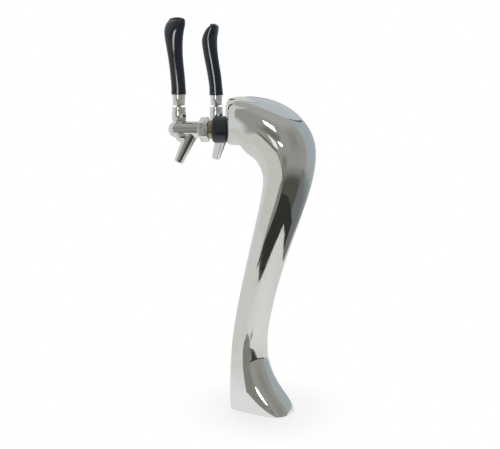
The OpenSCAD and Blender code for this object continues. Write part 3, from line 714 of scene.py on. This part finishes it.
def buildTapBody():
    radius, nose = tap["barrelRadius"], tap["reach"] + tap["domeOffset"]
    dome = [(radius * math.cos(a), nose + radius * math.sin(a)) for a in arc(0, math.pi / 2)]
    start = tap["barrelStart"]
    barrel = turned("tapBody", [(0, start), (radius, start)] + dome[:-1] + [(0, dome[-1][1])])
    barrel.data.transform(forward)
    thread = turned("thread", rodOutline(tap["threadRadius"], tap["threadStart"], start + overlap))
    thread.data.transform(forward)
    upright = turned("upright", rodOutline(tap["uprightRadius"], 0, tap["uprightTop"]))
    upright.data.transform(atLever())
    spout = turned("spout", [(0, 0), (tap["spoutRootRadius"], 0), (tap["spoutTipRadius"], tap["spoutLength"]),
                             (0, tap["spoutLength"])])
    leanTurn = Matrix.Rotation(math.pi - math.radians(tap["spoutLean"]), 4, "X")
    alongSpout = Matrix.Translation((0, -tap["spoutRoot"], 0)) @ leanTurn
    spout.data.transform(alongSpout)
    bpy.ops.object.select_all(action="DESELECT")
    webPlace = (0, -tap["reach"] + tap["webBack"], -tap["webDrop"])
    bpy.ops.mesh.primitive_uv_sphere_add(segments=48, ring_count=24, radius=tap["webRadius"],
                                         location=webPlace)
    web = placedSolid(bpy.context.object)
    pick(barrel)
    for part in (thread, upright, spout, web):
        part.select_set(True)
    bpy.ops.object.join()
    # remeshing fuses the casting, and smoothing gives its polished fillets
    applied(barrel, "REMESH", mode="VOXEL", voxel_size=tap["voxel"])
    applied(barrel, "SMOOTH", factor=0.5, iterations=tap["polish"])
    bores = [
        ("spoutBore", tap["spoutBore"], tap["spoutBoreStart"], tap["spoutLength"] + 2 * overlap,
         alongSpout),
        ("barrelBore", tap["boreRadius"], tap["boreStart"], tap["boreEnd"], forward),
        ("rearBore", tap["boreRadius"], tap["threadStart"] - overlap, tap["valveFace"], forward),
        ("valveHole", tap["valveHole"], tap["valveFace"] - overlap, tap["boreStart"] + overlap, forward),
        ("pocket", tap["pocketRadius"], tap["pocketFloor"], tap["uprightTop"] + 2 * overlap, atLever())]
    for name, bore, start, end, place in bores:
        cutter = turned(name, rodOutline(bore, start, end))
        cutter.data.transform(place)
        carve(barrel, cutter)
    way = prism("lugWay", tap["lugWay"], tap["lugWayWidth"])
    way.data.transform(atLever(tap["pivot"]))
    carve(barrel, way)
    return smoothed(barrel, degrees=40)


bonnet = {
    "pivot": 0.026, "skirtRadius": 0.0105, "skirtFoot": 0.0128, "ringRadius": 0.0102, "ringFoot": 0.028,
    "groove": 0.0008, "top": 0.033, "insideRadius": 0.00905, "ballPocket": 0.0078, "mouthAngle": 52.7,
    "bossRadius": 0.004, "bossStart": 0.00945, "bossReach": 0.0126, "bossHeight": 0.02,
    "screwRadius": 0.00205, "turns": {"right": 40, "left": 0}, "edge": 0.00022}


def buildBonnet(name, turnDegrees):
    g, pivot = bonnet["groove"], bonnet["pivot"]
    mouth = math.tan(math.radians(bonnet["mouthAngle"]))
    pocket = bonnet["ballPocket"]
    meet = math.atan2(1, mouth)  # where the mouth's cone meets the ball's pocket
    inner = [(pocket * math.cos(a), pivot + pocket * math.sin(a))
             for a in arc(meet, 0, steps=6)]
    inside, skirt, radius = bonnet["insideRadius"], bonnet["skirtRadius"], bonnet["ringRadius"]
    skirtFoot, ringFoot, top = bonnet["skirtFoot"], bonnet["ringFoot"], bonnet["top"]
    outline = [
        (inside, skirtFoot), (skirt, skirtFoot), (skirt, ringFoot - 2 * g), (radius - g, ringFoot - g),
        (radius - g, ringFoot), (radius, ringFoot + g), (radius, top - g), (radius - g / 2, top),
        ((top - pivot) * mouth, top)] + inner + [(inside, pivot), (inside, skirtFoot)]
    ring = turned(name, outline, segments=96)
    reach = bonnet["bossReach"]
    boss = turned("boss", rodOutline(bonnet["bossRadius"], bonnet["bossStart"], reach), segments=48)
    hole = turned("hole", rodOutline(bonnet["screwRadius"], 0, reach + overlap), segments=32)
    screwTurn = Matrix.Rotation(-math.radians(turnDegrees), 4, "Z")
    level = Matrix.Rotation(-math.pi / 2, 4, "X")
    sideways = Matrix.Translation((0, 0, bonnet["bossHeight"])) @ screwTurn @ level
    for part in (boss, hole):
        part.data.transform(sideways)
    carve(ring, boss, "UNION")
    carve(ring, hole)
    return softened(ring, bonnet["edge"], degrees=30)


ferrule = {"lowRadius": 0.0088, "topRadius": 0.00965, "top": 0.0512, "cup": 0.0129, "hole": 0.00355,
           "edge": 0.0003}


def buildFerrule():
    cup, pivot = ferrule["cup"], bonnet["pivot"]
    fromAngle = math.acos(ferrule["hole"] / cup)
    toAngle = math.acos(ferrule["lowRadius"] / cup)
    cupLine = [(cup * math.cos(a), pivot + cup * math.sin(a))
               for a in arc(fromAngle, toAngle, steps=6)]
    rim = [(ferrule["topRadius"], ferrule["top"]), (ferrule["hole"], ferrule["top"])]
    piece = turned("ferrule", cupLine + rim + cupLine[:1], segments=96)
    return softened(piece, ferrule["edge"], degrees=30, segments=3)


nut = {"start": 0.0253, "length": 0.013, "acrossFlats": 0.032, "chamfer": 0.001, "hole": 0.0102,
       "socket": 0.0136, "web": 0.0028, "edge": 0.00025}


def buildNut():
    r, flat, c = nut["acrossFlats"] / math.sqrt(3), nut["acrossFlats"] / 2, nut["chamfer"]
    low, high = nut["start"], nut["start"] + nut["length"]
    bpy.ops.object.select_all(action="DESELECT")
    bpy.ops.mesh.primitive_cylinder_add(vertices=6, radius=r, depth=nut["length"],
                                        location=(0, 0, (low + high) / 2))
    hexagon = placedSolid(bpy.context.object)
    hexagon.name = "couplingNut"
    cone = turned("cone", [(0, low), (flat, low), (r, low + c), (r + c, low + c), (r + c, high - c),
                           (r, high - c), (flat, high), (0, high)], segments=96)
    carve(hexagon, cone, "INTERSECT")
    carve(hexagon, turned("hole", rodOutline(nut["hole"], low - c, high + c), segments=64))
    carve(hexagon, turned("socket", rodOutline(nut["socket"], low + nut["web"], high + c), segments=64))
    hexagon.data.transform(forward)
    return softened(hexagon, nut["edge"], degrees=25)


collar = {"length": 0.0192, "radius": 0.02, "straight": 0.74, "front": 0.84, "hole": 0.0103,
          "contour": 0.05088, "gap": 0.0006, "edge": 0.0003}


def buildCollar():
    r, length = collar["radius"], collar["length"]
    corner = length * collar["straight"]
    front = [(mix(r * collar["front"], r, math.cos(a)), mix(corner, length, math.sin(a)))
             for a in arc(0, math.pi / 2)]
    hole, rear = collar["hole"], -r / 2
    outline = [(hole, rear), (r, rear)] + front + [(hole, length), (hole, rear)]
    body = turned("collar", outline, segments=128)
    body.data.transform(forward)
    bpy.ops.object.select_all(action="DESELECT")
    # the rear follows the round head, a hair's breadth off it
    bpy.ops.mesh.primitive_cylinder_add(vertices=256, radius=collar["contour"] + collar["gap"],
                                        depth=4 * r, location=(0, collar["contour"], 0))
    carve(body, placedSolid(bpy.context.object))
    return softened(body, collar["edge"], degrees=40)


# the shank's ridged brass ring, which shows between nut and collar
shankRing = {"start": 0.0194, "length": 0.0054, "radius": 0.0138, "root": 0.0129, "hole": 0.0103,
             "ridges": 3, "flankEnd": 0.25, "crestEnd": 0.65, "ridgeEnd": 0.9}


def buildShankRing():
    start, hole, root, radius = (shankRing[key] for key in ("start", "hole", "root", "radius"))
    pitch = shankRing["length"] / shankRing["ridges"]
    outline = [(hole, start)]
    for i in range(shankRing["ridges"]):
        z = start + i * pitch
        outline += [(root, z), (radius, z + shankRing["flankEnd"] * pitch),
                    (radius, z + shankRing["crestEnd"] * pitch), (root, z + shankRing["ridgeEnd"] * pitch)]
    end = start + shankRing["length"]
    outline += [(root, end), (hole, end), (hole, start)]
    body = turned("shankRing", outline, segments=96)
    body.data.transform(forward)
    return smoothed(body, degrees=30)


bodyShape = buildTapBody()
ferruleShape, nutShape, collarShape, ringShape = buildFerrule(), buildNut(), buildCollar(), buildShankRing()
for sideName, side in sides.items():
    place = onHead(side)
    ring = buildBonnet("bonnet", bonnet["turns"][sideName])
    for shape, nodeName, slot, body, spot in (
            (bodyShape, "tap_body", "chrome", "tower", place),
            (ring, "bonnet", "chrome", "tower", place @ atLever()),
            (ferruleShape, "ferrule", "chrome", sideName + "_lever", place @ atLever()),
            (nutShape, "coupling_nut", "chrome", "tower", place),
            (collarShape, "collar", "collar", "tower", place)):
        piece = copied(shape, sideName + "_" + nodeName + "_shape", spot)
        group = "grips" if nodeName in ("bonnet", "ferrule") else "taps"
        finishPiece(piece, body, sideName + "_" + nodeName, finishes[slot], group)
    bpy.data.objects.remove(ring)
    flange = copied(ringShape, sideName + "_shank_ring", place)
    finishPiece(flange, "tower", None, paleBrass, "taps")
for shape in (bodyShape, ferruleShape, nutShape, collarShape, ringShape):
    bpy.data.objects.remove(shape)
print("taps made")


# Handles: round at the foot, flattened and leaning at the head, turned to where they screw tight

handle = {"start": 0.0515, "length": 0.1115, "diameter": 0.022, "turns": {"right": 68, "left": 40},
          "steps": 8, "sides": 72, "hole": 0.00505, "holeDepth": 0.0188}

# front offset and height, rear offset and height, then half width, as shares of diameter and length;
# the rows are a fit program's, on the outline of both handles in the photograph
handleShares = [
    (-0.46, 0, 0.46, 0, 0.46), (-0.5, 0.012, 0.5, 0.012, 0.5), (-0.502, 0.111, 0.452, 0.111, 0.485),
    (-0.62, 0.274, 0.369, 0.274, 0.48), (-0.775, 0.436, 0.236, 0.436, 0.482),
    (-0.929, 0.593, 0.127, 0.593, 0.539), (-1.022, 0.735, 0.076, 0.735, 0.638),
    (-0.952, 0.825, 0.104, 0.837, 0.712), (-0.699, 0.919, 0.151, 0.885, 0.721),
    (-0.417, 0.969, 0.187, 0.95, 0.64), (-0.396, 0.982, 0.165, 0.965, 0.596),
    (-0.327, 0.994, 0.096, 0.983, 0.448), (-0.221, 0.999, -0.01, 0.996, 0.224),
    (-0.124, 1, -0.106, 1, 0.019)]


def buildHandle():
    size, length = handle["diameter"], handle["length"]
    rings = []
    for frontY, frontZ, rearY, rearZ, halfWidth in smoothRows(handleShares, handle["steps"]):
        front, rear = (frontY * size, frontZ * length), (rearY * size, rearZ * length)
        rings.append(sliceRing(front, rear, halfWidth * size, 2, 2, handle["sides"]))
    piece = ringSkin("handle", rings)
    insertHole = rodOutline(handle["hole"], -overlap, handle["holeDepth"])
    carve(piece, turned("insertHole", insertHole, segments=48))
    return smoothed(piece, degrees=35)


grip = buildHandle()
for sideName, side in sides.items():
    turn = Matrix.Rotation(math.radians(handle["turns"][sideName]), 4, "Z")
    piece = copied(grip, sideName + "_handle_shape", onHead(side) @ atLever(handle["start"]) @ turn)
    finishPiece(piece, sideName + "_lever", sideName + "_handle", finishes["handle"],
                "handles")
bpy.data.objects.remove(grip)
print("handles made")
